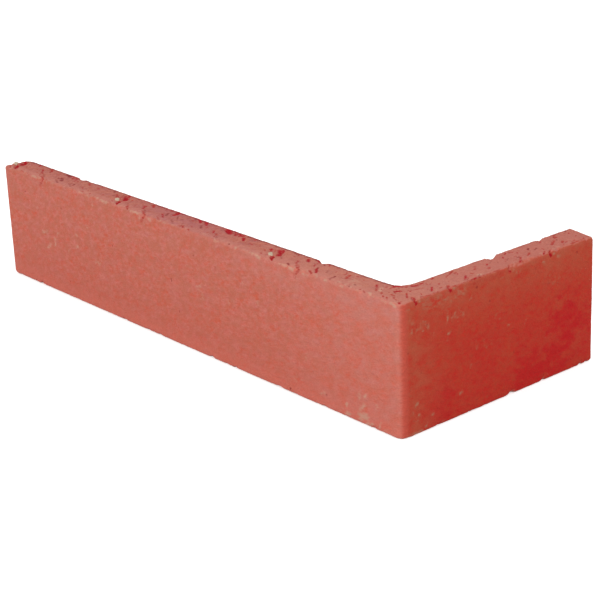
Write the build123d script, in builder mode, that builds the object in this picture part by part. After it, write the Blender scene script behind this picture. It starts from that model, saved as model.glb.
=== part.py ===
"""Corner brick slip: an L-shaped fired-clay facing tile that covers an outside wall corner.

Millimetres. The slip stands on its lower bed, as it is laid in a course. X runs along the
long leg towards the corner, Y along the short leg away from the long face, Z up the course.
The origin is the centre of the footprint's bounding box, on the lower bed.
"""

import math
import os

from build123d import *

# Driving dimensions: outside lengths of the two legs, height between the beds, face to back
long_leg = 250.0
short_leg = 100.0
course_height = 50.0
thickness = 12.0

# Outside corner, rounded by the moulding, and the fillet in the root where the two backs meet
corner_radius = 3.0
root_radius = 6.0

# Worn arrises: upright ones where the faces meet the free ends, level ones along both beds
end_arris_radius = 1.2
bed_arris_radius = 0.8

# Scooped chips along the back arris of the upper bed, all of one curvature.
# Each is (distance of its middle from the leg's free end, how far it bites into the bed).
scoop_radius = 4.0
long_back_scoops = ((44.5, 1.3), (199.0, 1.7))
short_back_scoops = ((18.0, 1.3),)

# V-shaped nick in the back arris of the short leg's upper bed, fading out down the back.
# Its tip lies close to its side towards the corner.
nick_from_end = 41.0
nick_width = 5.2
nick_tip_along = 4.3
nick_into_bed = 3.2
nick_down_back = 6.0

# Planes that the section and the chips are set out from
end_x = -long_leg / 2
face_x = long_leg / 2
back_x = face_x - thickness
face_y = -short_leg / 2
end_y = short_leg / 2
back_y = face_y + thickness


def scoop_offset(bite):
    """How far beyond both faces of an arris a ball's centre lies, to bite this far into each."""
    return (math.sqrt(2 * scoop_radius**2 - bite**2) - bite) / 2


with BuildPart() as corner_slip:
    # L-shaped section, the same from bed to bed
    with BuildSketch(Plane.XY) as section:
        with BuildLine():
            Polyline(
                (end_x, face_y),
                (face_x, face_y),
                (face_x, end_y),
                (back_x, end_y),
                (back_x, back_y),
                (end_x, back_y),
                close=True,
            )
        make_face()
        for corner, radius in (
            ((face_x, face_y), corner_radius),
            ((back_x, back_y), root_radius),
            ((end_x, face_y), end_arris_radius),
            ((face_x, end_y), end_arris_radius),
        ):
            fillet(section.vertices().sort_by_distance(corner)[0], radius=radius)
    extrude(amount=course_height)

    # Soft arrises along both beds, all round the outside of the L
    long_face = corner_slip.faces().filter_by(Plane.XZ).sort_by(Axis.Y)[0]
    short_face = corner_slip.faces().filter_by(Plane.YZ).sort_by(Axis.X)[-1]
    outline = long_face.edges() + short_face.edges()
    fillet(outline.filter_by(Axis.Z, reverse=True), radius=bed_arris_radius)

    # Scooped chips, first along the long leg's back arris and then along the short leg's
    for from_end, bite in long_back_scoops:
        beyond = scoop_offset(bite)
        with Locations((end_x + from_end, back_y + beyond, course_height + beyond)):
            Sphere(scoop_radius, mode=Mode.SUBTRACT)
    for from_end, bite in short_back_scoops:
        beyond = scoop_offset(bite)
        with Locations((back_x - beyond, end_y - from_end, course_height + beyond)):
            Sphere(scoop_radius, mode=Mode.SUBTRACT)

    # Nick: a triangle on the bed, driven down and out through the back
    with BuildSketch(Plane.XY.offset(course_height)):
        with BuildLine():
            Polyline(
                (back_x, end_y - nick_from_end - nick_width),
                (back_x + nick_into_bed, end_y - nick_from_end - nick_tip_along),
                (back_x, end_y - nick_from_end),
                close=True,
            )
        make_face()
    clear_of_back = Vector(-nick_into_bed, 0, -nick_down_back) * 2
    extrude(amount=clear_of_back.length, dir=clear_of_back, mode=Mode.SUBTRACT)

corner_slip.part.label = "corner_slip"

os.makedirs("parts", exist_ok=True)
export_step(corner_slip.part, "parts/corner_slip.step")
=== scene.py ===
"""Looks of the corner brick slip: one fired-clay piece with its pits, chips, wear and colour.

The slip is modelled in millimetres, section by section along the L, and becomes a mesh in metres
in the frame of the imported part. Chips and marks are set out by two lengths: along a leg from its
free end, and round the section from its upper front arris, over the bed and down the back. The
second length is negative down the face.
"""

import math

import bpy
import numpy as np
from mathutils import Matrix, Vector, noise


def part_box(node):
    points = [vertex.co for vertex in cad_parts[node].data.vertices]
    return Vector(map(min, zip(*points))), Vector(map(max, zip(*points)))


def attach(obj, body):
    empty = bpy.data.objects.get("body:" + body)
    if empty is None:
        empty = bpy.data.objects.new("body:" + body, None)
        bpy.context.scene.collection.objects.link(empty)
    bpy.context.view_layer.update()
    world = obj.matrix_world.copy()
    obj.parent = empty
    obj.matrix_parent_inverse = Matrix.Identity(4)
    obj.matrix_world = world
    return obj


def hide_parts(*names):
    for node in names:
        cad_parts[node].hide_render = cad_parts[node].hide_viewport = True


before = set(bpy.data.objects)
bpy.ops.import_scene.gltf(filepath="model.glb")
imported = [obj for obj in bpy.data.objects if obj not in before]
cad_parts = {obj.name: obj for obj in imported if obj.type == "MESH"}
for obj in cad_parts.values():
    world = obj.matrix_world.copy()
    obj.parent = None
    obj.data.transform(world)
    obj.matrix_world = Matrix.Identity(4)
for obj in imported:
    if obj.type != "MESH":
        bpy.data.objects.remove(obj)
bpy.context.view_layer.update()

MM = 0.001
NODE = "corner_slip"

# Noise: a seed that each use adds its own to, the shift from seed to seed, and its octaves' fall
# and step
SEED = 7
SEED_SHIFT = (17.3, 5.9, 11.1)
octave_fall, octave_step = 0.8, 2.1

# Sizes of the construction, in millimetres: the box comes from the frame
low, high = (np.array(corner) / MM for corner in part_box(NODE))
long_leg, short_leg, height = high - low
thickness = 12.0
corner_radius = 3.0
root_radius = 6.0

# Arrises before they are worn: moulded ones round the outside, sawn ones round the back
end_arris = 0.9
bed_arris = 0.8
sawn_end_arris = 0.4
sawn_arris = 0.25

# Spacing of the mesh: along the legs, on the outer face (fine near its top), the beds and the backs
column_step = 0.5
face_step = 0.9
face_top_step = 0.5
fine_top = 6.0
upper_bed_step = 0.46
lower_bed_step = 1.1
back_top_step = 0.8
back_step = 3.5
chipped_height = 8.0

# Steps of the round stretches, and rings that close a free end up to this share of the way inwards
arris_steps = 4
end_steps = 5
corner_steps = 12
cap_rings = 9
cap_share = 0.9

# Arrises of the section, as (measured from the back, measured from the upper bed)
UPPER_FRONT = (False, True)
UPPER_BACK = (True, True)
LOWER_FRONT = (False, False)
LOWER_BACK = (True, False)

# Wear at the four corners of each free end, upper front, upper back, lower front and lower back:
# how round the bed's arris is there, and how far the end leans in
END_ROUNDING = {"long": (0.6, 0.6, 2.6, 1.0), "short": (2.2, 0.4, 0.8, 0.8)}
END_LEAN = {"long": (0.0, 0.4, 0.0, 0.6), "short": (0.6, 0.0, 0.0, 0.0)}
lean_reach = 9.0

# Wear along each arris: least and most, the size of the worn stretches, and where in the noise
# they set in. Crumbs of this size add their share to it, and wear is full this far past its start.
crumb_size, crumb_share, wear_range = 0.9, 0.25, 0.7
WEAR = (
    (UPPER_FRONT, 0.6, 1.2, 1.8, -0.1),
    (LOWER_FRONT, 0.4, 0.8, 7.0, 0.0),
    (UPPER_BACK, 0.25, 0.6, 3.0, 0.5),
    (LOWER_BACK, 0.25, 0.9, 4.0, 0.3),
)

# The share of its wear that the short leg's upper front arris has, up to this far from the free end
# and beyond
worn_length = 47.0
worn_share, sharp_share = 0.95, 0.5

# Chips of each arris: middle from the free end, reach towards the end and towards the corner, bite
# into the bed, bite into the face or back, and 1 for a V or 2 for a scoop
CHIPS = {
    ("long", UPPER_BACK): (
        (0.0, 1.0, 5.5, 1.6, 1.3, 1), (45.0, 4.0, 2.4, 1.6, 1.6, 2), (51.0, 6.0, 8.0, 0.5, 0.5, 2),
        (199.2, 3.2, 2.8, 2.0, 2.0, 2),
    ),
    ("short", UPPER_BACK): ((18.4, 2.8, 1.0, 1.5, 1.5, 1), (45.6, 5.4, 0.6, 2.9, 6.0, 1)),
    ("long", LOWER_FRONT): (
        (22.6, 2.0, 1.1, 3.4, 1.8, 1), (144.0, 2.4, 2.0, 1.5, 1.0, 2), (152.8, 1.2, 2.6, 1.5, 1.0, 1),
        (159.3, 3.4, 0.3, 1.8, 1.2, 1), (184.5, 3.0, 3.0, 1.2, 0.8, 2), (236.0, 2.0, 1.4, 1.2, 0.9, 1),
    ),
    ("short", LOWER_FRONT): (
        (66.7, 0.6, 1.2, 1.4, 0.9, 1), (44.4, 2.6, 3.6, 2.8, 1.7, 1), (27.4, 1.0, 2.6, 2.4, 1.3, 1),
        (6.4, 1.2, 2.0, 2.2, 1.3, 1), (3.2, 1.0, 1.6, 2.0, 1.1, 1),
    ),
    ("short", UPPER_FRONT): (
        (92.6, 1.0, 1.2, 1.1, 1.8, 1), (75.8, 1.0, 1.2, 1.0, 1.6, 1), (46.2, 1.2, 1.0, 1.5, 2.4, 1),
        (46.4, 30.0, 0.6, 1.3, 2.0, 1), (24.6, 1.0, 1.2, 1.2, 1.8, 1),
    ),
    ("long", UPPER_FRONT): (
        (30.2, 0.9, 1.2, 1.5, 2.2, 1), (103.8, 0.9, 1.2, 1.5, 2.4, 1), (197.6, 0.9, 1.2, 1.2, 2.2, 1),
    ),
}

# Broken surface of the chips: how rough, and the size of its lumps
chip_roughness, chip_lump = 0.22, 1.3

# The clay's grain is drawn out as it is pressed: its scale along x, y and z, after a turn that lets
# it climb along the long leg and fall along the short one
DRAWN = (0.72, 0.72, 1.15)
GRAIN_AXIS, GRAIN_TURN = (-1.0, -1.0, 0.0), -0.35

# Crimson patches of the short face: place in y and z and reach, in millimetres, and how crimson
BLUSHES = (
    (17.0, 5.0, 18.0, 0.75), (28.5, 7.0, 14.0, 0.8), (36.5, 18.0, 17.0, 0.85),
    (-32.0, 4.0, 14.0, 0.65), (-8.0, 1.0, 12.0, 0.4),
)

# Random small marks: how many, between which places round the section, layer and largest width.
# They are dragged this way, and at full strength they sink by this share of their width.
DRAGGED = (-0.7, 0.7)
scatter_depth = 0.25
SCATTERED = (
    (40, 0.8, thickness, "crimson", 0.9),
    (45, 0.6 * thickness, thickness, "crimson", 1.2),
    (60, 0.3, thickness, "dark", 1.0),
    (90, 0.3, thickness, "red", 1.1),
    (120, thickness + 1, thickness + height - 1, "crimson", 1.2),
    (160, thickness + height, 2 * thickness + height, "crimson", 1.3),
    (30, -height, -1, "dark", 0.7),
)

# Groups of strokes that come again along the slip. Each stroke has what it adds to, its start and
# stop (along the leg, round the section), its width, its strength and how far it stands out.
PEBBLE = (
    ("pebble", (0.7, -0.7), (-0.8, 0.5), 1.9, 1.0, 0.5),
    ("crimson", (-0.6, 5.2), (1.0, 3.9), 1.6, 0.9, -0.5),
    ("crimson", (1.2, 3.8), (2.6, 1.8), 2.5, 1.0, -0.8),
    ("crimson", (2.3, -0.7), (3.0, -1.9), 1.9, 1.0, -0.7),
    ("crimson", (3.2, -2.2), (4.4, -3.6), 1.3, 0.9, -0.4),
    ("red", (-4.6, 3.8), (-2.2, 2.0), 1.0, 0.8, -0.3),
    ("red", (-2.8, 4.6), (-1.2, 3.0), 0.9, 0.7, -0.2),
    ("red", (-1.4, -1.8), (0.2, -2.6), 1.0, 0.5, -0.2),
)
# A tear at the upper front arris with real relief: its red strokes paint the shadow in the fold from bed to
# face, and its pale strokes paint highlights to either side
TEAR_WITH_PAINTED_LIGHT = (
    ("pale", (-6.4, 0.1), (-3.4, -0.5), 1.5, 0.8, -0.1),
    ("pale", (-2.2, 1.0), (-1.4, 0.7), 1.3, 0.5, 0.0),
    ("red", (-2.8, 2.9), (0.8, 0.4), 1.5, 0.75, -0.35),
    ("red", (1.4, 0.2), (-0.8, -3.2), 2.0, 0.55, -0.35),
    ("pale", (-1.6, -0.2), (-2.0, -1.6), 1.6, 0.35, 0.1),
    ("pale", (3.4, -0.4), (5.6, -1.2), 1.5, 0.5, 0.1),
    ("pale", (0.6, -3.4), (2.0, -4.2), 1.6, 0.3, 0.0),
)
NICK = (
    ("crimson", (0.3, -0.5), (-0.3, -1.5), 1.25, 0.95, -0.3),
    ("red", (0.4, 0.2), (-0.9, 1.6), 1.0, 0.8, -0.3),
    ("pale", (-1.5, -0.4), (-1.8, -1.0), 1.2, 0.5, 0.1),
    ("pale", (-3.6, -2.2), (-5.2, -2.6), 1.3, 0.5, 0.0),
    ("pale", (4.2, -2.6), (3.4, -2.8), 1.3, 0.4, 0.0),
)
SPLASH = (
    ("pale", (-1.9, 0.4), (-2.4, -0.2), 1.1, 0.6, 0.0),
    ("pale", (-0.4, 0.4), (0.1, -0.6), 1.0, 0.4, 0.0),
    ("pale", (1.0, -1.6), (1.1, -1.7), 1.3, 0.7, 0.0),
    ("pale", (3.6, -1.2), (3.7, -2.0), 1.1, 0.7, 0.0),
    ("pale", (-4.0, -1.2), (-4.2, -2.2), 1.0, 0.45, 0.0),
    ("pale", (-1.5, -2.4), (-1.7, -2.9), 1.1, 0.7, 0.0),
    ("pale", (-0.2, -1.3), (-0.5, -1.5), 1.0, 0.5, 0.0),
    ("pale", (-2.8, -0.6), (-3.0, -1.0), 0.9, 0.5, 0.0),
    ("pale", (4.4, 2.2), (3.4, 1.4), 3.2, 0.22, 0.0),
    ("red", (1.4, -0.4), (1.6, 0.1), 1.4, 0.6, -0.1),
)

# Where the groups lie on each leg, and how strong they are there
GROUPS = {
    "long": (
        (PEBBLE, (1.6, 5.0), 1.0), (PEBBLE, (80.0, 4.6), 1.0), (PEBBLE, (178.3, 3.9), 1.0),
        (TEAR_WITH_PAINTED_LIGHT, (29.2, 0.0), 1.0), (TEAR_WITH_PAINTED_LIGHT, (103.2, 0.0), 1.0), (TEAR_WITH_PAINTED_LIGHT, (196.6, 0.0), 0.85),
    ),
    "short": (
        (NICK, (92.6, 0.0), 1.0), (NICK, (76.0, 0.0), 1.0), (NICK, (46.2, -0.8), 0.8),
        (NICK, (24.5, -0.4), 1.0), (SPLASH, (91.0, -9.4), 1.0), (SPLASH, (74.0, -9.6), 1.0),
        (SPLASH, (53.0, -16.0), 0.35), (SPLASH, (22.0, -11.0), 0.5), (SPLASH, (59.5, -24.8), 0.35),
    ),
}

# Strokes that come once: a pebble in a pit at the long leg's end, a stain at that leg's foot, and
# the shaded and reddened upper front arris of the short leg
SINGLE = {
    "long": (
        ("crimson", (0.0, 7.6), (1.4, 7.0), 1.6, 1.0, -0.3),
        ("pebble", (0.4, 5.6), (1.8, 4.7), 2.4, 1.0, 0.3),
        ("dark", (92.0, -49.6), (128.0, -49.6), 1.1, 0.5, 0.0),
    ),
    "short": (
        ("dark", (67.0, 0.0), (60.5, 0.0), 1.0, 0.45, 0.0),
        ("red", (90.0, 0.2), (50.5, 0.1), 0.9, 0.55, 0.0),
        ("red", (66.5, -1.5), (51.0, -1.5), 3.5, 0.34, 0.0),
    ),
}

# Pale smudges of each leg's arris, face and bed: start, stop, width and strength
SMUDGES = {
    "long": (
        ((22.5, -0.2), (26.5, -0.4), 1.3, 0.6), ((36.0, 0.6), (38.6, 0.2), 1.5, 0.3),
        ((58.0, 0.5), (60.5, 0.2), 1.5, 0.35), ((66.0, 1.0), (73.5, 0.5), 1.6, 0.4),
        ((74.0, 0.4), (78.6, -0.2), 1.9, 0.75), ((93.0, 0.1), (95.4, -0.3), 1.4, 0.4),
        ((97.6, -0.2), (100.4, -0.5), 1.5, 0.6), ((113.5, 0.4), (118.5, 0.1), 1.4, 0.4),
        ((149.0, 0.4), (151.5, 0.1), 1.3, 0.35), ((160.0, 0.4), (162.5, 0.0), 1.4, 0.4),
        ((167.5, 0.6), (173.5, 0.0), 1.4, 0.5), ((173.8, -0.2), (176.6, -0.5), 1.5, 0.8),
        ((187.5, 0.0), (189.5, -0.4), 1.3, 0.5), ((192.6, -0.4), (195.0, -0.8), 1.4, 0.7),
        ((206.0, 0.3), (208.0, 0.0), 1.4, 0.5), ((211.5, 0.0), (213.2, -0.4), 1.2, 0.6),
        ((220.0, -0.2), (221.4, -0.5), 1.1, 0.6), ((221.4, 1.7), (223.2, 0.2), 0.9, 0.8),
        ((224.4, 1.4), (225.6, 0.3), 0.9, 0.6), ((227.5, 0.4), (228.6, 0.0), 1.1, 0.6),
        ((233.4, 1.6), (235.2, 0.2), 1.2, 0.9), ((235.6, 0.0), (237.0, -0.4), 1.1, 0.8),
        ((241.5, -0.4), (243.0, -0.6), 1.2, 0.5), ((245.5, -0.4), (247.5, -0.9), 1.3, 0.6),
        ((233.6, 7.2), (235.0, 5.2), 1.2, 0.9), ((219.0, 5.6), (225.0, 4.0), 5.0, 0.3),
        ((27.8, -24.6), (30.6, -23.6), 2.8, 0.4), ((30.6, -30.4), (32.2, -28.6), 2.6, 0.45),
        ((36.0, -26.0), (36.6, -25.6), 2.0, 0.3), ((36.2, -28.2), (36.8, -27.8), 1.2, 0.6),
        ((39.0, -22.6), (40.0, -22.0), 1.6, 0.35), ((24.0, -14.2), (25.0, -14.0), 1.2, 0.5),
        ((52.4, -20.6), (54.2, -19.8), 1.8, 0.3), ((53.0, -25.8), (54.4, -25.0), 1.6, 0.3),
        ((47.0, -28.6), (49.4, -27.2), 1.4, 0.35), ((63.0, -14.4), (63.8, -13.6), 1.4, 0.55),
        ((67.8, -29.0), (70.4, -28.0), 2.6, 0.3), ((68.2, -3.6), (69.0, -2.8), 1.3, 0.45),
        ((137.6, -21.8), (139.4, -21.2), 2.6, 0.35), ((139.8, -25.8), (141.2, -24.8), 2.2, 0.5),
        ((144.4, -21.8), (145.6, -21.2), 1.8, 0.35), ((156.8, -23.2), (158.4, -22.4), 2.2, 0.35),
        ((165.2, -12.8), (165.8, -12.4), 1.2, 0.6), ((173.2, -19.2), (174.4, -18.8), 1.6, 0.3),
        ((193.8, -43.2), (197.4, -42.8), 1.6, 0.4), ((200.2, -33.4), (201.0, -32.6), 1.6, 0.4),
        ((208.6, -44.8), (210.0, -44.2), 2.2, 0.3), ((221.2, -45.8), (221.8, -44.4), 1.5, 0.8),
        ((221.0, -48.4), (223.4, -48.2), 1.8, 0.5), ((228.4, -40.6), (228.8, -39.0), 1.4, 0.85),
        ((231.2, -38.8), (231.6, -38.4), 1.4, 0.8), ((229.6, -44.2), (230.8, -42.8), 2.8, 0.5),
        ((229.4, -47.2), (231.8, -46.8), 3.4, 0.75), ((234.4, -48.9), (235.2, -47.9), 1.2, 0.9),
        ((232.4, -49.2), (232.8, -48.8), 1.4, 0.6), ((237.6, -41.4), (238.0, -40.6), 1.8, 0.45),
        ((238.8, -48.6), (239.4, -46.4), 1.4, 0.35), ((240.6, -48.8), (243.6, -48.6), 1.5, 0.55),
    ),
    "short": (
        ((60.4, 1.8), (59.8, 1.4), 1.2, 0.8), ((77.4, -16.8), (76.2, -16.6), 0.9, 0.5),
        ((84.7, -14.6), (84.1, -14.2), 0.9, 0.6), ((66.2, -6.6), (65.6, -6.3), 1.0, 0.8),
        ((38.0, -23.6), (37.2, -23.2), 1.0, 0.5), ((93.4, -38.8), (92.2, -38.2), 0.9, 0.9),
        ((94.8, -41.4), (94.2, -40.6), 0.9, 0.5), ((91.8, -42.9), (91.0, -42.4), 0.9, 0.9),
        ((93.2, -44.9), (92.2, -44.7), 0.9, 0.7), ((85.6, -44.8), (84.4, -44.6), 0.9, 0.4),
        ((88.0, -47.3), (87.2, -47.7), 0.9, 0.9), ((90.0, -48.6), (88.2, -48.4), 1.0, 0.6),
        ((97.6, -48.9), (90.0, -49.1), 1.0, 0.55), ((83.6, -49.1), (79.0, -49.3), 0.9, 0.3),
        ((71.4, -41.0), (70.2, -40.7), 0.9, 0.6), ((66.4, -32.4), (65.8, -32.2), 0.9, 0.4),
        ((46.6, -22.2), (46.0, -22.0), 1.0, 0.4), ((78.0, -19.0), (77.4, -18.8), 1.0, 0.4),
        ((88.0, -3.0), (70.5, -3.0), 4.5, 0.32),
    ),
}

# Pits, tears and stains of the upper bed of each leg: layer, start, stop, width and strength. At
# full strength they sink by this share of their width.
pit_depth = 0.3
PITS = {
    "long": (
        ("crimson", (2.8, 8.6), (5.0, 6.2), 2.7, 1.0), ("crimson", (4.4, 4.0), (7.4, 1.2), 2.0, 1.0),
        ("red", (0.6, 3.4), (3.8, 0.5), 1.0, 0.8), ("red", (9.2, 5.6), (10.8, 4.8), 1.0, 0.5),
        ("red", (12.2, 1.3), (14.6, 0.3), 1.4, 0.5), ("red", (21.5, 10.8), (24.0, 9.2), 1.5, 0.9),
        ("crimson", (19.2, 7.8), (21.6, 5.6), 1.3, 0.7), ("red", (22.0, 5.2), (25.6, 1.8), 0.8, 0.5),
        ("dark", (25.6, 4.2), (28.0, 2.8), 1.2, 0.6), ("dark", (33.5, 11.4), (36.6, 10.4), 1.9, 0.9),
        ("crimson", (38.0, 11.2), (42.6, 10.2), 2.0, 0.6), ("crimson", (39.8, 9.6), (40.6, 9.0), 1.3, 0.8),
        ("crimson", (43.0, 8.8), (44.2, 7.6), 2.0, 0.45), ("dark", (36.0, 6.5), (39.4, 4.2), 1.6, 0.75),
        ("dark", (36.5, 3.2), (40.4, 1.4), 1.2, 0.6), ("crimson", (52.2, 9.8), (54.2, 8.5), 1.3, 0.75),
        ("dark", (45.0, 4.2), (49.4, 1.8), 1.6, 0.35), ("red", (54.2, 4.8), (55.6, 4.0), 1.0, 0.5),
        ("crimson", (60.0, 9.2), (62.0, 7.4), 1.8, 0.45), ("red", (30.0, 9.6), (31.6, 7.4), 1.7, 0.45),
        ("dark", (69.0, 11.0), (71.0, 9.8), 1.2, 0.6), ("red", (73.8, 8.6), (77.2, 6.2), 1.4, 0.8),
        ("crimson", (78.6, 9.7), (80.4, 8.2), 1.8, 0.8), ("crimson", (79.4, 11.3), (80.4, 10.6), 1.5, 0.8),
        ("dark", (86.0, 5.2), (88.2, 4.2), 1.0, 0.4), ("red", (89.0, 3.4), (92.6, 0.2), 1.3, 0.7),
        ("red", (97.0, 10.4), (99.2, 8.8), 1.5, 0.9), ("crimson", (95.2, 7.4), (97.6, 4.9), 1.4, 0.7),
        ("dark", (99.6, 4.2), (102.2, 2.5), 1.2, 0.6), ("crimson", (105.6, 9.9), (107.8, 10.9), 1.8, 0.5),
        ("crimson", (113.8, 11.5), (113.6, 8.3), 1.7, 1.0), ("dark", (110.4, 7.7), (111.6, 5.9), 1.4, 0.7),
        ("crimson", (109.2, 5.9), (112.8, 3.4), 1.4, 0.8), ("red", (110.2, 2.7), (114.0, 0.4), 1.2, 0.6),
        ("dark", (116.0, 8.4), (120.4, 4.6), 0.9, 0.45), ("dark", (118.2, 3.6), (122.0, 1.4), 1.2, 0.55),
        ("crimson", (92.0, 11.7), (132.0, 11.7), 1.5, 0.4), ("dark", (124.2, 8.6), (126.0, 7.6), 1.8, 0.5),
        ("crimson", (126.2, 11.2), (129.0, 9.6), 1.6, 0.8),
        ("crimson", (131.0, 11.0), (133.4, 9.2), 2.0, 0.8), ("dark", (132.4, 7.2), (135.0, 5.2), 1.2, 0.7),
        ("crimson", (135.4, 7.9), (136.6, 6.6), 1.1, 0.55),
        ("crimson", (141.0, 6.8), (143.0, 4.8), 1.2, 0.75), ("red", (144.4, 5.0), (145.8, 4.0), 1.1, 0.7),
        ("crimson", (144.2, 10.9), (148.0, 9.2), 2.6, 1.0),
        ("crimson", (149.0, 11.0), (151.6, 9.0), 1.7, 0.85),
        ("crimson", (152.0, 10.6), (154.6, 9.7), 1.5, 0.7),
        ("crimson", (156.4, 9.0), (158.6, 7.0), 1.3, 1.0),
        ("crimson", (163.2, 6.7), (164.4, 6.2), 1.9, 0.6),
        ("crimson", (166.9, 8.4), (168.6, 6.9), 1.2, 0.55), ("dark", (147.4, 3.8), (148.6, 2.0), 1.2, 0.5),
        ("red", (127.4, 2.2), (129.0, 1.1), 1.3, 0.7), ("red", (160.0, 11.0), (162.0, 9.8), 1.2, 0.7),
        ("crimson", (173.6, 8.4), (176.2, 5.9), 1.4, 0.65),
        ("crimson", (177.0, 9.2), (178.4, 7.8), 1.8, 0.8), ("dark", (182.8, 4.8), (184.6, 3.6), 1.0, 0.4),
        ("dark", (183.8, 11.0), (186.0, 10.6), 1.4, 0.6),
        ("crimson", (192.4, 10.0), (194.2, 8.3), 1.6, 0.85),
        ("crimson", (198.4, 8.7), (199.8, 5.9), 1.3, 0.6),
        ("crimson", (190.8, 6.3), (192.6, 4.1), 1.3, 0.65), ("red", (194.8, 3.1), (196.2, 1.9), 1.1, 0.6),
        ("crimson", (202.3, 5.1), (205.0, 2.5), 1.2, 1.0), ("red", (202.0, 2.1), (204.6, 0.4), 1.2, 0.8),
        ("red", (215.8, 8.6), (217.4, 5.6), 1.6, 0.8), ("crimson", (196.2, 11.3), (198.4, 10.3), 1.3, 0.8),
        ("dark", (206.8, 6.6), (208.2, 4.7), 1.1, 0.4), ("dark", (213.0, 2.4), (214.2, 0.4), 1.0, 0.6),
        ("dark", (223.0, 1.9), (224.2, 0.6), 0.9, 0.5), ("crimson", (230.0, 8.5), (232.2, 6.2), 1.3, 0.65),
        ("red", (232.2, 6.0), (233.8, 4.4), 1.0, 0.7), ("crimson", (235.6, 11.2), (238.2, 13.8), 1.8, 1.0),
        ("crimson", (239.0, 8.6), (240.2, 9.9), 1.4, 1.0),
        ("crimson", (247.6, 2.2), (248.5, 1.3), 1.5, 0.9), ("red", (236.6, 4.2), (237.8, 3.2), 1.0, 0.7),
        ("red", (238.8, 2.8), (240.0, 1.8), 1.0, 0.7), ("red", (241.2, 2.4), (242.6, 1.2), 1.0, 0.7),
        ("red", (242.6, 4.4), (243.8, 3.2), 1.0, 0.6),
    ),
    "short": (
        ("crimson", (84.2, 10.5), (82.4, 9.6), 1.4, 0.9), ("red", (88.2, 8.2), (83.0, 6.2), 0.8, 0.6),
        ("red", (93.2, 3.5), (90.5, 6.7), 0.9, 0.9), ("crimson", (92.4, 1.6), (91.8, 2.4), 1.5, 0.9),
        ("crimson", (80.5, 10.2), (79.9, 9.8), 1.2, 0.7), ("crimson", (78.3, 10.5), (77.8, 10.3), 1.1, 0.7),
        ("crimson", (82.6, 2.6), (80.0, 4.9), 1.0, 0.8), ("crimson", (83.0, 2.0), (82.4, 2.4), 1.8, 0.5),
        ("red", (77.0, 0.3), (75.2, 1.9), 1.1, 0.9), ("red", (74.6, 10.4), (73.6, 10.9), 1.2, 0.8),
        ("red", (68.6, 8.8), (64.0, 10.8), 1.1, 0.7), ("red", (65.0, 8.6), (63.8, 9.4), 1.2, 0.6),
        ("crimson", (66.5, 2.2), (66.0, 2.5), 1.8, 0.6), ("crimson", (65.4, 3.2), (63.5, 4.9), 1.1, 0.8),
        ("red", (57.5, 6.3), (55.0, 8.3), 1.3, 0.6), ("red", (53.2, 3.6), (52.0, 4.2), 2.0, 0.5),
        ("dark", (49.0, 7.0), (46.2, 8.6), 0.9, 0.4), ("crimson", (63.9, 0.1), (62.8, 0.5), 1.2, 0.7),
        ("dark", (61.6, 0.4), (60.2, 1.5), 1.0, 0.5), ("crimson", (41.8, 7.2), (40.6, 8.3), 1.1, 0.65),
        ("crimson", (39.8, 0.6), (39.0, 0.9), 1.7, 0.5), ("red", (38.6, 2.0), (36.4, 3.7), 1.0, 0.8),
        ("red", (33.2, 3.1), (31.0, 4.5), 1.1, 0.8), ("crimson", (27.9, 0.1), (26.2, 1.4), 1.2, 0.7),
        ("red", (18.6, 4.6), (14.8, 7.0), 1.2, 0.9), ("red", (14.0, 4.0), (12.6, 4.8), 1.1, 0.7),
        ("crimson", (16.2, 1.6), (15.2, 2.0), 1.8, 0.4), ("red", (12.0, 9.5), (10.0, 11.0), 1.1, 0.6),
        ("red", (12.6, 0.4), (5.4, 0.5), 1.5, 0.5), ("red", (11.2, 1.4), (9.4, 1.9), 1.3, 0.5),
    ),
}

# Dark specks of the faces of each leg, and the width, strength and relief that they share
SPECK = (1.3, 0.55, -0.1)
SPECKS = {
    "long": (
        (191.0, -48.1), (211.2, -44.7), (235.8, -49.4), (237.0, -49.4), (136.0, -9.3), (149.4, -11.1),
        (43.6, -10.2),
    ),
    "short": (
        (96.4, -18.6), (96.9, -22.5), (82.4, -19.6), (90.6, -27.2), (56.4, -10.4), (63.0, -3.3),
        (32.6, -4.5), (9.9, -4.0), (34.6, -17.5), (43.6, -33.4), (48.3, -42.2), (27.4, -47.6),
        (25.6, -12.0),
    ),
}


def smooth_step(value, start, stop):
    """0 before start, 1 after stop, and a smooth rise between them."""
    t = np.clip((value - start) / (stop - start), 0, 1)
    return t * t * (3 - 2 * t)


def lumps(points, size, seed, octaves=1):
    """Smooth noise from about -1 to 1, with lumps of this size in millimetres. Each use has its seed."""
    shift = Vector(SEED_SHIFT) * (seed + SEED)
    flat = points.reshape(-1, 3) / size
    if octaves == 1:
        found = [noise.noise(Vector(p) + shift) for p in flat]
    else:
        found = [noise.fractal(Vector(p) + shift, octave_fall, octave_step, octaves) for p in flat]
    return np.array(found).reshape(points.shape[:-1])


def line(start, stop, size):
    """Points from start, left out, to stop, about size apart."""
    start, stop = np.array(start, float), np.array(stop, float)
    count = max(1, round(np.linalg.norm(stop - start) / size))
    return start + (stop - start) * np.linspace(0, 1, count + 1)[1:, None]


def arc(centre, radius, first, last, count):
    """Points along an arc from the first angle, left out, to the last, in degrees."""
    turn = np.radians(np.linspace(first, last, count + 1))[1:]
    return np.array(centre) + radius * np.column_stack([np.cos(turn), np.sin(turn)])


def section():
    """One section of a leg as points (depth behind the outer face, height over the lower bed)."""
    r, b = bed_arris, sawn_arris
    return np.vstack([
        [(0, r)],
        line((0, r), (0, height - fine_top), face_step),
        line((0, height - fine_top), (0, height - r), face_top_step),
        arc((r, height - r), r, 180, 90, arris_steps),
        line((r, height), (thickness - b, height), upper_bed_step),
        [(thickness, height - b)],
        line((thickness, height - b), (thickness, height - chipped_height), back_top_step),
        line((thickness, height - chipped_height), (thickness, b), back_step),
        [(thickness - b, 0)],
        line((thickness - b, 0), (r, 0), lower_bed_step),
        arc((r, r), r, 270, 180, arris_steps)[:-1],
    ])


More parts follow.
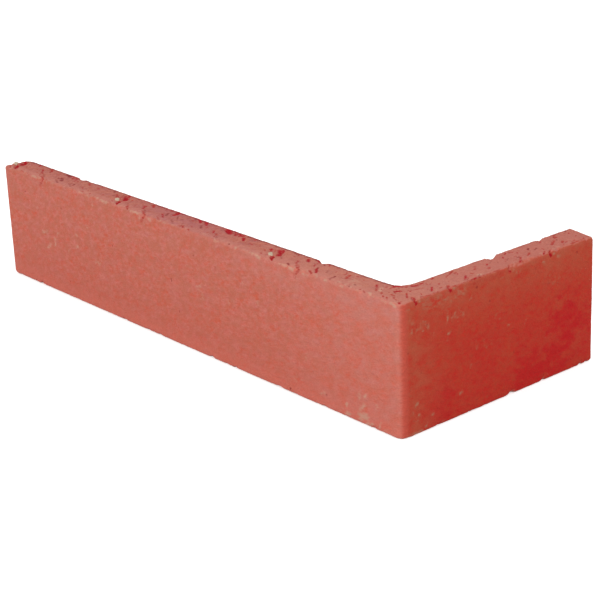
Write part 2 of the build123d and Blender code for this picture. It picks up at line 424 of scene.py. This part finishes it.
def plan():
    """The L from above: points of its outer line and its back line, and their distance from a free end."""
    reach = thickness + root_radius
    x0, y0, x1, y1 = low[0], low[1], high[0], high[1]
    rounding = end_arris * (1 - np.cos(np.radians(np.linspace(0, 90, end_steps + 1))))

    def stations(length):
        straight = line([end_arris], [length - reach], column_step)[:, 0]
        return np.concatenate([rounding, straight])

    long_in, short_in = stations(long_leg), stations(short_leg)[::-1]
    corner = np.vstack([
        line((x1 - reach, y0), (x1 - corner_radius, y0), column_step),
        arc((x1 - corner_radius, y0 + corner_radius), corner_radius, -90, 0, corner_steps),
        line((x1, y0 + corner_radius), (x1, y0 + reach), column_step)[:-1],
    ])
    strides = np.linalg.norm(np.diff(corner, axis=0, prepend=[(x1 - reach, y0)]), axis=1)
    share = np.cumsum(strides) / (strides.sum() + column_step)
    turn = np.radians(90 * share - 90)
    root = (x1 - reach, y0 + reach) + root_radius * np.column_stack([np.cos(turn), np.sin(turn)])

    def along_both(behind, bend):
        return np.vstack([
            np.column_stack([x0 + long_in, np.full(len(long_in), y0 + behind)]),
            bend,
            np.column_stack([np.full(len(short_in), x1 - behind), y1 - short_in]),
        ])

    from_end = np.concatenate([long_in, np.full(len(corner), reach), short_in])
    return along_both(0, corner), along_both(thickness, root), from_end


def at_corners(values, depth, level):
    """Blends values given for a section's upper front, upper back, lower front and lower back corner."""
    back, up = depth / thickness, level / height
    upper = values[..., 0] * (1 - back) + values[..., 1] * back
    lower = values[..., 2] * (1 - back) + values[..., 3] * back
    return upper * up + lower * (1 - up)


class Slip:
    """The slip's surface as a grid of sections along the L, each a closed ring of points."""

    far = 1e6

    def __init__(self):
        self.outer, self.back, self.from_end = plan()
        ring = section()
        columns = len(self.outer)
        self.depth = np.tile(ring[:, 0], (columns, 1))
        self.level = np.tile(ring[:, 1], (columns, 1))
        self.on_long_leg = self.outer[:, 1] < low[1] + 1e-6
        self.on_short_leg = self.outer[:, 0] > high[0] - 1e-6
        steps = np.linalg.norm(np.diff(ring, axis=0), axis=1)
        walked = np.concatenate([[0], np.cumsum(steps)])
        self.round = walked - walked[np.argmin(np.hypot(ring[:, 0], height - ring[:, 1]))]
        self.rest = self.place(np.arange(columns), self.depth, self.level)

    def place(self, columns, depth, level):
        """Positions of section points. Near a free end the sections are drawn in, for its round arrises."""
        long_side = self.on_long_leg[columns, None]
        from_end = self.from_end[columns, None]

        def for_leg(table):
            return np.where(long_side, np.array(table["long"]), np.array(table["short"]))[:, None]

        def drawn_in(radius):
            missing = np.clip(radius - from_end, 0, radius)
            return radius - np.sqrt(radius**2 - missing**2)

        rounding, lean = for_leg(END_ROUNDING), for_leg(END_LEAN)
        at_top = drawn_in(at_corners(rounding, depth, height))
        at_foot = drawn_in(at_corners(rounding, depth, 0))
        leaning = at_corners(lean, depth, level) * np.clip(1 - from_end / lean_reach, 0, 1) ** 2
        at_face, at_back = drawn_in(end_arris), drawn_in(sawn_end_arris)
        depth = at_face + depth * (thickness - at_face - at_back) / thickness
        level = at_foot + level * (height - at_foot - at_top) / height
        outer, rib = self.outer[columns], self.back[columns] - self.outer[columns]
        width = np.linalg.norm(rib, axis=1)[:, None]
        share = np.clip((depth - bed_arris) / (thickness - bed_arris - sawn_arris), 0, 1)
        depth = depth + (width - thickness) * share
        inward = np.where(long_side, (1.0, 0.0), (0.0, -1.0))
        flat = outer[:, None] + (rib / width)[:, None] * depth[..., None]
        flat = flat + inward[:, None] * leaning[..., None]
        return np.concatenate([flat, level[..., None] + low[2]], axis=2)

    def along(self, leg):
        """Each section's distance from a leg's free end, far away for sections of the other leg."""
        if leg == "long":
            return np.where(self.on_long_leg, self.outer[:, 0] - low[0], self.far)
        return np.where(self.on_short_leg, high[1] - self.outer[:, 1], self.far)

    def places(self, leg):
        """Where each point lies for a mark: its distance from a leg's free end, and round the section."""
        x, y = self.rest[..., 0], self.rest[..., 1]
        along, behind = (x - low[0], y - low[1]) if leg == "long" else (high[1] - y, high[0] - x)
        on_bed = (self.round > 0) & (self.round < thickness)
        reach = np.where(self.round > 0, thickness + root_radius, corner_radius)
        return np.where(behind > reach, self.far, along), np.where(on_bed, behind, self.round)

    def lose(self, arris, profile, into_bed, into_face):
        """Takes off what stands outside a chip's surface, where profile is 1 at its deepest."""
        from_back, from_top = arris
        p = thickness - self.depth if from_back else self.depth
        q = height - self.level if from_top else self.level
        missing = np.maximum(profile - p / into_bed - q / into_face, 0)
        p = p + missing * into_bed / 2
        q = q + missing * into_face / 2
        self.depth = thickness - p if from_back else p
        self.level = height - q if from_top else q


def crumble(slip):
    """Wears each arris: the moulded front ones unevenly, the sawn back ones here and there."""
    at_edge = slip.rest[:, :1]
    on_worn_part = slip.along("short") < worn_length
    share = np.where(on_worn_part, worn_share, np.where(slip.on_short_leg, sharp_share, 1.0))
    for index, (arris, least, most, size, onset) in enumerate(WEAR):
        slow = lumps(at_edge, size, 20 + index, 2)
        fast = lumps(slip.rest, crumb_size, 30 + index)
        worn = smooth_step(slow + crumb_share * fast, onset, onset + wear_range)
        amount = least + (most - least) * worn
        if arris == UPPER_FRONT:
            amount = amount * share[:, None]
        slip.lose(arris, 1.0, amount, amount)


def chip(slip):
    """Cuts the chips, with a broken surface."""
    broken = 1 + chip_roughness * lumps(slip.rest, chip_lump, 1)
    for (leg, arris), chips in CHIPS.items():
        for middle, to_end, to_corner, into_bed, into_face, shape in chips:
            off = slip.along(leg) - middle
            off = off / np.where(off < 0, to_end, to_corner)
            profile = 1 - np.abs(np.clip(off, -2, 2)) ** shape
            slip.lose(arris, profile[:, None] * broken, into_bed, into_face)


class Marks:
    """What the slip's material reads at each point of the grid, and how far each point stands out."""

    # A stroke's fading edge as a share of its width, and limits of its relief in millimetres
    edge = 0.85
    clearing = (0.3, 2.0)
    most_relief = 0.6

    def __init__(self, slip):
        self.places = {leg: slip.places(leg) for leg in ("long", "short")}
        names = ("crimson", "red", "pale", "pebble", "dark")
        self.layers = {name: np.zeros(slip.depth.shape) for name in names}
        self.relief = np.zeros(slip.depth.shape)
        self.draw = np.random.default_rng(SEED)

    def stroke(self, layer, leg, start, stop, width, strength, proud=0.0):
        """Adds a stroke with round ends between two places."""
        along, around = self.places[leg]
        (s0, v0), (s1, v1) = start, stop
        near = np.abs(along - (s0 + s1) / 2) < abs(s1 - s0) / 2 + width
        here = np.flatnonzero(near.any(axis=1))
        s, v = along[here] - s0, around[here] - v0
        run = np.array([s1 - s0, v1 - v0])
        share = np.clip((s * run[0] + v * run[1]) / (run @ run + 1e-9), 0, 1)
        distance = np.hypot(s - share * run[0], v - share * run[1]) / width
        amount = strength * (1 - smooth_step(distance, 0.0, self.edge))
        self.layers[layer][here] = np.maximum(self.layers[layer][here], amount)

        # Its relief stays off the upper back arris, and adds less where there is some already
        clear = smooth_step(np.abs(around[here] - thickness), *self.clearing)
        room = 1 - np.abs(self.relief[here]) / (abs(proud) + self.most_relief)
        self.relief[here] += proud * clear * amount * room

    def group(self, strokes, leg, place, share):
        """Adds a group of strokes at this place, at this share of its strength."""
        middle = np.array(place)
        for layer, start, stop, width, strength, proud in strokes:
            self.stroke(layer, leg, middle + start, middle + stop, width, share * strength, proud)

    def scatter(self, count, first, last, layer, largest):
        """Random small marks over both legs, between two places round the section, most of them dragged."""
        for _ in range(count):
            on_long = self.draw.random() < long_leg / (long_leg + short_leg)
            leg, length = ("long", long_leg) if on_long else ("short", short_leg)
            middle = np.array([self.draw.uniform(0.5, length - 2), self.draw.uniform(first, last)])
            width = largest * self.draw.uniform(0.45, 1.0)
            run = (self.draw.normal(0, 0.3, 2) + self.draw.uniform(0, 1.0) * np.array(DRAGGED)) * width
            strength = self.draw.uniform(0.4, 0.9)
            sunk = -scatter_depth * width * strength
            self.stroke(layer, leg, middle - run, middle + run, width, strength, sunk)

    def shade_arrises(self, slip):
        """Rubs the upper front arris pale here and there, darkens a line along the upper back one, and
        paints shade by it over the long leg's far half.
        """
        patches = lumps(slip.rest, 5.0, 40) + 0.6 * lumps(slip.rest, 1.1, 41)
        by_front = 1 - smooth_step(np.abs(slip.round - 0.4), 0.3, 2.2)
        rubbed = 0.3 * by_front * smooth_step(patches, -0.3, 0.9)
        past = slip.round - thickness
        from_back = np.where(past > 0, 3 * past, -past)
        most_dark_line = np.where(slip.on_short_leg, 0.4, 0.9)[:, None]
        dark_line = (1 - smooth_step(from_back, 0.4, 2.4)) * smooth_step(-patches, -0.9, 0.3) * most_dark_line
        far_half = smooth_step(slip.along("long"), 185.0, 150.0)[:, None]
        # Painted shade: the bed by the back arris darker over the long leg's far half
        far_painted_shade = 0.28 * (1 - smooth_step(from_back, 1.0, 5.5)) * far_half
        for name, values in (("pale", rubbed), ("dark", np.maximum(dark_line, far_painted_shade))):
            self.layers[name] = np.maximum(self.layers[name], values)


def mark(slip):
    """Lays out all the slip's marks."""
    marks = Marks(slip)
    for scattered in SCATTERED:
        marks.scatter(*scattered)
    for leg in ("long", "short"):
        for layer, start, stop, width, strength in PITS[leg]:
            marks.stroke(layer, leg, start, stop, width, strength, -pit_depth * width * strength)
        for strokes, place, share in GROUPS[leg]:
            marks.group(strokes, leg, place, share)
        for smudge in SMUDGES[leg]:
            marks.stroke("pale", leg, *smudge)
        for layer, *stroke in SINGLE[leg]:
            marks.stroke(layer, leg, *stroke)
        for place in SPECKS[leg]:
            marks.stroke("dark", leg, place, place, *SPECK)
    marks.shade_arrises(slip)
    return marks


def grid_faces(columns, rows):
    """Quads between neighbouring sections, each ring closed."""
    start = np.arange(columns - 1)[:, None] * rows
    here = start + np.arange(rows)
    after = start + (np.arange(rows) + 1) % rows
    return np.stack([here, here + rows, after + rows, after], axis=2).reshape(-1, 4)


def end_cap(slip, column, first, flip):
    """Rings that close a free end, shrinking towards the middle of the leg, and the faces between them."""
    depth, level = slip.depth[column], slip.level[column]
    middle = np.clip(level, thickness / 2, height - thickness / 2)
    rows = len(depth)
    rings = []
    for share in np.linspace(0, cap_share, cap_rings + 1)[1:]:
        inner_depth = depth + (thickness / 2 - depth) * share
        inner_level = level + (middle - level) * share
        rings.append(slip.place(np.array([column]), inner_depth[None], inner_level[None])[0])
    edge = column * rows + np.arange(rows)
    faces = []
    for k in range(cap_rings):
        ring = first + k * rows + np.arange(rows)
        quads = np.stack([edge, np.roll(edge, -1), np.roll(ring, -1), ring], axis=1)
        faces.extend(quads[:, ::-1].tolist() if flip else quads.tolist())
        edge = ring
    closing = edge.tolist()
    faces.append(closing[::-1] if flip else closing)
    return np.vstack(rings), faces


def surface(slip):
    """Positions and faces of the whole surface: the grid first, then the two end caps."""
    columns, rows = slip.depth.shape
    body = slip.place(np.arange(columns), slip.depth, slip.level).reshape(-1, 3)
    faces = grid_faces(columns, rows).tolist()
    start_cap, start_faces = end_cap(slip, 0, len(body), False)
    stop_cap, stop_faces = end_cap(slip, columns - 1, len(body) + len(start_cap), True)
    return np.vstack([body, start_cap, stop_cap]), faces + start_faces + stop_faces


def normals_of(mesh):
    found = np.zeros(len(mesh.vertices) * 3, np.float32)
    mesh.vertices.foreach_get("normal", found)
    return found.reshape(-1, 3).astype(float)


def store(mesh, name, values):
    """Keeps one number a point on the mesh, for the material."""
    attribute = mesh.attributes.new(name, "FLOAT", "POINT")
    attribute.data.foreach_set("value", np.asarray(values, np.float32))


def regions(points, normal):
    """How far each point belongs to the beds, the sawn backs and the short face, by how it faces."""
    ragged = lumps(points, 1.6, 42) + 0.7 * lumps(points, 0.7, 43)
    bed = smooth_step(np.abs(normal[:, 2]) + 0.22 * ragged, 0.4, 0.95)
    in_l = (points[:, 0] < high[0] - thickness + 0.3) & (points[:, 1] > low[1] + thickness - 0.3)
    sawn = in_l * smooth_step(np.maximum(normal[:, 1], -normal[:, 0]), 0.5, 0.85)
    # The short face's mask also sets where, round the corner, its painted shade takes over from the long
    # face's painted sheen
    side = smooth_step(normal[:, 0], 0.46, 0.96) * (1 - bed)
    return bed, sawn, side


def surface_relief(points, bed, sawn):
    """Relief in millimetres outwards: slow waves and orange peel on the faces, rough beds, sawn lines."""
    moulded = (1 - bed) * (1 - sawn)
    drawn = points @ np.array(Matrix.Rotation(GRAIN_TURN, 3, GRAIN_AXIS)).T * DRAWN
    relief = moulded * (
        0.09 * lumps(points, 24.0, 2) + 0.06 * lumps(drawn, 5.5, 3) + 0.045 * lumps(drawn, 1.9, 4, 2)
    )
    relief += bed * (0.06 * lumps(points, 7.0, 5) + 0.1 * lumps(points, 1.5, 6, 3) - 0.05)
    relief += sawn * (0.03 * lumps(points, 4.0, 7) + 0.05 * lumps(points * (0.12, 0.12, 1), 1.1, 8))
    return relief


def build_slip():
    """The slip as one mesh, with what its material reads stored on the points."""
    slip = Slip()
    crumble(slip)
    chip(slip)
    points, faces = surface(slip)
    mesh = bpy.data.meshes.new("brick_slip")
    mesh.from_pydata((points * MM).tolist(), [], faces)
    normal = normals_of(mesh)
    bed, sawn, side = regions(points, normal)
    marks = mark(slip)
    on_caps = np.zeros(len(points) - marks.relief.size)
    relief = surface_relief(points, bed, sawn) + np.concatenate([marks.relief.ravel(), on_caps])
    points = (points + normal * relief[:, None]) * MM
    mesh.vertices.foreach_set("co", points.astype(np.float32).ravel())
    mesh.update()
    for name, values in marks.layers.items():
        store(mesh, name, np.concatenate([values.ravel(), on_caps]))
    for name, values in (("bed", bed), ("sawn", sawn), ("side", side)):
        store(mesh, name, values)
    mesh.shade_smooth()
    return mesh


def tint(red, green, blue):
    """A screen colour, 0 to 255, as a linear one."""
    linear = [((c / 255 + 0.055) / 1.055) ** 2.4 for c in (red, green, blue)]
    return (*linear, 1.0)


class Finish:
    """The nodes of a material or a world, and short ways to add them."""

    def __init__(self, owner):
        owner.use_nodes = True
        self.owner, self.tree = owner, owner.node_tree
        self.tree.nodes.clear()

    def add(self, kind, values=None, **settings):
        """A node with these settings, and with its inputs set or linked by name or number."""
        made = self.tree.nodes.new(kind)
        for name, value in settings.items():
            setattr(made, name, value)
        for key, value in (values or {}).items():
            if isinstance(value, bpy.types.NodeSocket):
                self.tree.links.new(value, made.inputs[key])
            else:
                made.inputs[key].default_value = value
        return made

    def attribute(self, name):
        return self.add("ShaderNodeAttribute", attribute_name=name).outputs["Fac"]

    def mottle(self, where, lump, detail=2.0, roughness=0.5):
        """Noise with lumps of this size in millimetres."""
        values = {"Vector": where, "Scale": 1 / (lump * MM), "Detail": detail, "Roughness": roughness}
        return self.add("ShaderNodeTexNoise", values).outputs["Fac"]

    def rise(self, value, start, stop, least=0.0, most=1.0):
        """Least before start, most after stop, and a smooth rise between them."""
        values = {"Value": value, 1: start, 2: stop, 3: least, 4: most}
        return self.add(
            "ShaderNodeMapRange", values, interpolation_type="SMOOTHSTEP"
        ).outputs["Result"]

    def maths(self, operation, *values):
        return self.add(
            "ShaderNodeMath", dict(enumerate(values)), operation=operation
        ).outputs["Value"]

    def blend(self, share, first, second):
        """The first colour at share 0 and the second at share 1."""
        values = {0: share, 6: first, 7: second}
        return self.add("ShaderNodeMix", values, data_type="RGBA").outputs[2]


class Clay(Finish):
    """The fired clay's material, with the noises that mix its colours. Its places are in metres."""

    def __init__(self):
        super().__init__(bpy.data.materials.new("fired_clay"))
        self.where = self.add("ShaderNodeTexCoord").outputs["Object"]
        self.place = self.add("ShaderNodeSeparateXYZ", {"Vector": self.where}).outputs
        self.slow = self.mottle(self.where, 16.0)
        turned = self.add(
            "ShaderNodeVectorRotate", {"Vector": self.where, "Axis": GRAIN_AXIS, "Angle": GRAIN_TURN},
            rotation_type="AXIS_ANGLE",
        ).outputs["Vector"]
        drawn = self.add(
            "ShaderNodeVectorMath", {0: turned, 1: DRAWN}, operation="MULTIPLY"
        ).outputs["Vector"]
        self.medium = self.mottle(drawn, 4.5, 4.0, 0.6)
        self.hue, self.small, self.fine = (self.mottle(drawn, lump, 3.0, 0.6) for lump in (2.7, 1.6, 0.55))

    def mottled(self, value, start, stop, first, second):
        """The first tint where the value is low, and the second where it is high."""
        return self.blend(self.rise(value, start, stop), tint(*first), tint(*second))

    def washes(self, colour, *coats):
        """The colour under thin coats, each with what it follows, from where to where, how strong
        it is before and after, and its tint.
        """
        for value, start, stop, before, after, shade in coats:
            colour = self.blend(self.rise(value, start, stop, before, after), colour, tint(*shade))
        return colour

    def broken(self, name, grain, depth, start, stop, most):
        """A layer of marks, broken up by a grain where the layer is there at all."""
        there = self.attribute(name)
        rough = self.maths("MULTIPLY", self.maths("SUBTRACT", grain, 0.5), depth)
        marked = self.maths("MULTIPLY_ADD", rough, self.maths("SQRT", there), there)
        return self.rise(marked, start, stop, 0.0, most)


def long_face_with_painted_sheen(clay):
    """Salmon, paled in part by a painted sheen, with orange and pink patches, redder towards its foot, with
    a painted band of light at the very foot, and paler towards the corner.
    """
    x, z = clay.place["X"], clay.place["Z"]
    face = clay.mottled(clay.medium, 0.28, 0.72, (192, 109, 99), (204, 88, 63))
    face = clay.washes(
        face,
        (clay.small, 0.3, 0.7, 0.0, 0.75, (207, 127, 115)),
        (clay.hue, 0.3, 0.7, 0.0, 0.75, (186, 107, 85)),
        (z, 0.0, 0.046, 0.3, 0.0, (194, 96, 80)),
        # Painted light: a lighter band at the very foot, against the shade the floor casts there
        (z, 0.0, 0.009, 0.45, 0.0, (214, 116, 100)),
    )
    high_up, by_corner = clay.rise(z, 0.036, 0.048, 0.0, 0.3), clay.rise(x, 0.02, 0.06, 0.2)
    paler = clay.mottled(clay.medium, 0.32, 0.68, (199, 135, 124), (205, 125, 112))
    face = clay.blend(clay.maths("MULTIPLY", high_up, by_corner), face, paler)
    pinker = clay.mottled(clay.medium, 0.32, 0.68, (203, 130, 119), (209, 112, 95))
    return clay.blend(clay.rise(x, 0.05, 0.12, 0.0, 0.4), face, pinker)


def blushed(clay):
    """How crimson the short face is: more towards its foot, and most in the patches."""
    crimson = clay.maths("MULTIPLY_ADD", clay.place["Z"], -12.0, clay.slow)
    crimson = clay.rise(crimson, -0.1, 0.6, 0.0, 0.35)
    for y, z, reach, most in BLUSHES:
        spot = (high[0] * MM, y * MM, z * MM)
        away = clay.add(
            "ShaderNodeVectorMath", {0: clay.where, 1: spot}, operation="DISTANCE"
        ).outputs["Value"]
        away = clay.maths("MULTIPLY_ADD", clay.medium, -0.04, clay.maths("ADD", away, 0.02))
        crimson = clay.maths("MAXIMUM", crimson, clay.rise(away, 0.1 * reach * MM, reach * MM, most, 0.0))
    return crimson


def short_face_with_painted_shade(clay):
    """Brown and deep red, darker and redder in part by painted shade, more olive up by the arris and by the
    corner, and crimson in places.
    """
    y, z = clay.place["Y"], clay.place["Z"]
    brown = clay.mottled(clay.small, 0.28, 0.72, (187, 40, 28), (179, 63, 38))
    brown = clay.washes(
        brown,
        (clay.medium, 0.35, 0.65, 0.0, 0.5, (183, 38, 30)),
        (clay.hue, 0.3, 0.7, 0.0, 0.5, (174, 67, 46)),
    )
    deep = clay.blend(blushed(clay), brown, tint(182, 8, 22))
    high_up, by_corner = clay.rise(z, 0.03, 0.05, 0.0, 0.6), clay.rise(y, -0.046, -0.024, 0.6, 0.0)
    olive = clay.maths("MAXIMUM", high_up, by_corner)
    olive = clay.maths("MULTIPLY", olive, clay.rise(clay.medium, 0.3, 0.65, 0.1))
    deep = clay.blend(olive, deep, tint(173, 93, 65))
    deep = clay.washes(deep, (z, 0.0465, 0.0495, 0.0, 0.25, (179, 98, 78)))
    # Painted light: over the rounded corner a red-orange band, where the long face's painted sheen gives
    # way to this face's painted shade
    return clay.blend(clay.rise(y, -0.048, -0.0455), tint(188, 78, 62), deep)


def bed_with_painted_light(clay):
    """Brown and pink, paled in part by a painted sheen, with a mauve stretch midway along the long leg, and
    paler towards the corner by painted light.
    """
    x, y = clay.place["X"], clay.place["Y"]
    bed = clay.mottled(clay.medium, 0.3, 0.7, (172, 90, 82), (187, 108, 86))
    bed = clay.washes(
        bed,
        (clay.hue, 0.35, 0.7, 0.0, 0.7, (166, 91, 86)),
        (clay.small, 0.3, 0.7, 0.0, 0.65, (195, 120, 103)),
        (clay.fine, 0.56, 0.72, 0.0, 0.45, (150, 70, 62)),
        # Painted light: paler towards the corner, where more light falls
        (x, 0.035, 0.075, 0.0, 0.5, (194, 124, 106)),
        (y, -0.0485, -0.045, 0.5, 0.0, (201, 128, 114)),
        (y, -0.04, 0.015, 0.0, 0.5, (184, 101, 89)),
    )
    lilac = clay.maths("MULTIPLY", clay.rise(x, -0.04, -0.015), clay.rise(x, 0.005, 0.035, 0.5, 0.0))
    lilac = clay.maths("MULTIPLY", lilac, clay.rise(clay.medium, 0.42, 0.58, 0.1))
    return clay.blend(lilac, bed, tint(172, 98, 103))


def sawn_back(clay):
    """Plain salmon, flecked with paler grains."""
    cut = clay.mottled(clay.medium, 0.36, 0.64, (190, 94, 74), (195, 108, 88))
    return clay.washes(cut, (clay.small, 0.6, 0.68, 0.0, 0.6, (206, 144, 116)))


def marked(clay, colour):
    """The colour under a grain and the layers of marks."""
    both = clay.maths("MULTIPLY_ADD", clay.small, 0.6, clay.maths("MULTIPLY", clay.fine, 0.4))
    # The pale marks take a darker, browner copy on the short face: painted shade, as on the rest of that
    # face
    lime_with_painted_shade = clay.blend(clay.attribute("side"), tint(196, 145, 125), tint(170, 112, 88))
    colour = clay.washes(colour, (clay.fine, 0.35, 0.65, 0.0, 0.14, (166, 66, 50)))
    colour = clay.blend(clay.broken("pale", clay.small, 4.2, 0.0, 1.0, 0.9), colour, lime_with_painted_shade)
    for name, grain, depth, start, stop, most, shade in (
        ("dark", both, 3.0, 0.1, 0.8, 0.85, (128, 22, 24)),
        ("red", both, 3.0, 0.1, 0.85, 0.85, (168, 36, 28)),
        ("crimson", both, 3.0, 0.15, 0.8, 0.96, (166, 4, 24)),
        ("pebble", clay.fine, 1.0, 0.35, 0.6, 1.0, (196, 174, 150)),
    ):
        colour = clay.blend(clay.broken(name, grain, depth, start, stop, most), colour, tint(*shade))
    return colour


def fired_clay():
    """Salmon on the long face and deep red on the short one, partly a painted sheen and painted shade,
    browner and pitted on the beds.
    """
    clay = Clay()
    colour = clay.blend(clay.attribute("side"), long_face_with_painted_sheen(clay), short_face_with_painted_shade(clay))
    colour = clay.blend(clay.attribute("bed"), colour, bed_with_painted_light(clay))
    colour = clay.blend(clay.attribute("sawn"), colour, sawn_back(clay))
    bumps = clay.maths("MULTIPLY_ADD", clay.fine, 0.5, clay.small)
    bump = clay.add("ShaderNodeBump", {"Height": bumps, "Strength": 0.9, "Distance": 0.6 * MM})
    shader = clay.add("ShaderNodeBsdfPrincipled", {
        "Base Color": marked(clay, colour), "Roughness": clay.rise(clay.fine, 0.3, 0.7, 0.74, 0.9),
        "Normal": bump.outputs["Normal"], "Specular IOR Level": 0.15,
    })
    clay.add("ShaderNodeOutputMaterial", {"Surface": shader.outputs["BSDF"]})
    return clay.owner


def add_slip():
    slip = bpy.data.objects.new("brick_slip", build_slip())
    bpy.context.scene.collection.objects.link(slip)
    slip.data.materials.append(fired_clay())
    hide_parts(NODE)
    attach(slip, "root")


# The camera, from the fit to the photograph: angles in degrees, lengths in millimetres
azimuth, elevation, roll = 49.936, 20.649, -2.267
camera_distance = 570.9
aim_right, aim_up = -35.1, 48.5
lens_length = 99.78
sensor_size = 36.0


def add_camera():
    """Looks past the lower end of the outside corner, from the photograph's side."""
    around, above, tilt = (math.radians(angle) for angle in (azimuth, elevation, roll))
    backwards = Vector((
        math.sin(around) * math.cos(above), -math.cos(around) * math.cos(above), math.sin(above)
    ))
    level_right = Vector((math.cos(around), math.sin(around), 0))
    level_up = backwards.cross(level_right)
    right = level_right * math.cos(tilt) + level_up * math.sin(tilt)
    upward = level_up * math.cos(tilt) - level_right * math.sin(tilt)
    corner = Vector((high[0], low[1], low[2]))
    eye = corner + backwards * camera_distance + right * aim_right + upward * aim_up
    camera = bpy.data.objects.new("camera", bpy.data.cameras.new("camera"))
    camera.data.lens = lens_length
    camera.data.sensor_width = sensor_size
    camera.data.clip_start, camera.data.clip_end = 0.01, 50
    turned = Matrix((right, upward, backwards)).transposed().to_4x4()
    camera.matrix_world = Matrix.Translation(eye * MM) @ turned
    bpy.context.scene.collection.objects.link(camera)
    bpy.context.scene.camera = camera


# The stage, in metres: the floor reaches this far each way, just under the slip
floor_reach = 6.0
floor_gap = 0.0001

# Soft lamps: name, direction that they shine from, distance, size and power
LAMPS = (
    ("key", (0.0, -1.0, 0.6), 1.5, 1.1, 10),
    ("back", (-0.8, 0.55, 0.6), 1.3, 0.9, 4.5),
    ("side", (0.9, -0.05, 0.7), 1.4, 1.0, 8),
)


def add_floor():
    """A plain pale floor that keeps the slip's shadow, and looks lighter to the camera."""
    paper = Finish(bpy.data.materials.new("floor_paper"))
    seen = paper.add("ShaderNodeLightPath").outputs["Is Camera Ray"]
    matt = paper.add("ShaderNodeBsdfDiffuse", {"Color": (0.8, 0.8, 0.8, 1)}).outputs["BSDF"]
    lift = paper.add("ShaderNodeEmission", {
        "Color": (1, 1, 1, 1), "Strength": paper.maths("MULTIPLY", seen, 0.5),
    }).outputs["Emission"]
    both = paper.add("ShaderNodeAddShader", {0: matt, 1: lift}).outputs["Shader"]
    paper.add("ShaderNodeOutputMaterial", {"Surface": both})
    mesh = bpy.data.meshes.new("floor")
    reach, under = floor_reach, low[2] * MM - floor_gap
    corners = ((-reach, -reach), (reach, -reach), (reach, reach), (-reach, reach))
    mesh.from_pydata([(x, y, under) for x, y in corners], [], [(0, 1, 2, 3)])
    floor = bpy.data.objects.new("floor", mesh)
    floor.data.materials.append(paper.owner)
    bpy.context.scene.collection.objects.link(floor)


def add_backdrop():
    """A world that is white to the camera, and lights the slip at half that strength."""
    studio = Finish(bpy.data.worlds.new("studio"))
    seen = studio.add("ShaderNodeLightPath").outputs["Is Camera Ray"]
    strength = studio.rise(seen, 0.0, 1.0, 0.5, 1.0)
    white = studio.add("ShaderNodeBackground", {"Color": (1, 1, 1, 1), "Strength": strength})
    studio.add("ShaderNodeOutputWorld", {"Surface": white.outputs["Background"]})
    bpy.context.scene.world = studio.owner


def add_lamps():
    """Square soft lamps that look at the slip."""
    for name, direction, distance, size, power in LAMPS:
        lamp = bpy.data.lights.new(name, "AREA")
        lamp.size, lamp.energy = size, power
        made = bpy.data.objects.new(name, lamp)
        towards = Vector(direction).normalized()
        made.location = towards * distance
        made.rotation_mode = "QUATERNION"
        made.rotation_quaternion = towards.to_track_quat("Z", "Y")
        bpy.context.scene.collection.objects.link(made)


add_camera()
add_slip()
add_floor()
add_backdrop()
add_lamps()
bpy.context.scene.view_settings.view_transform = "Standard"
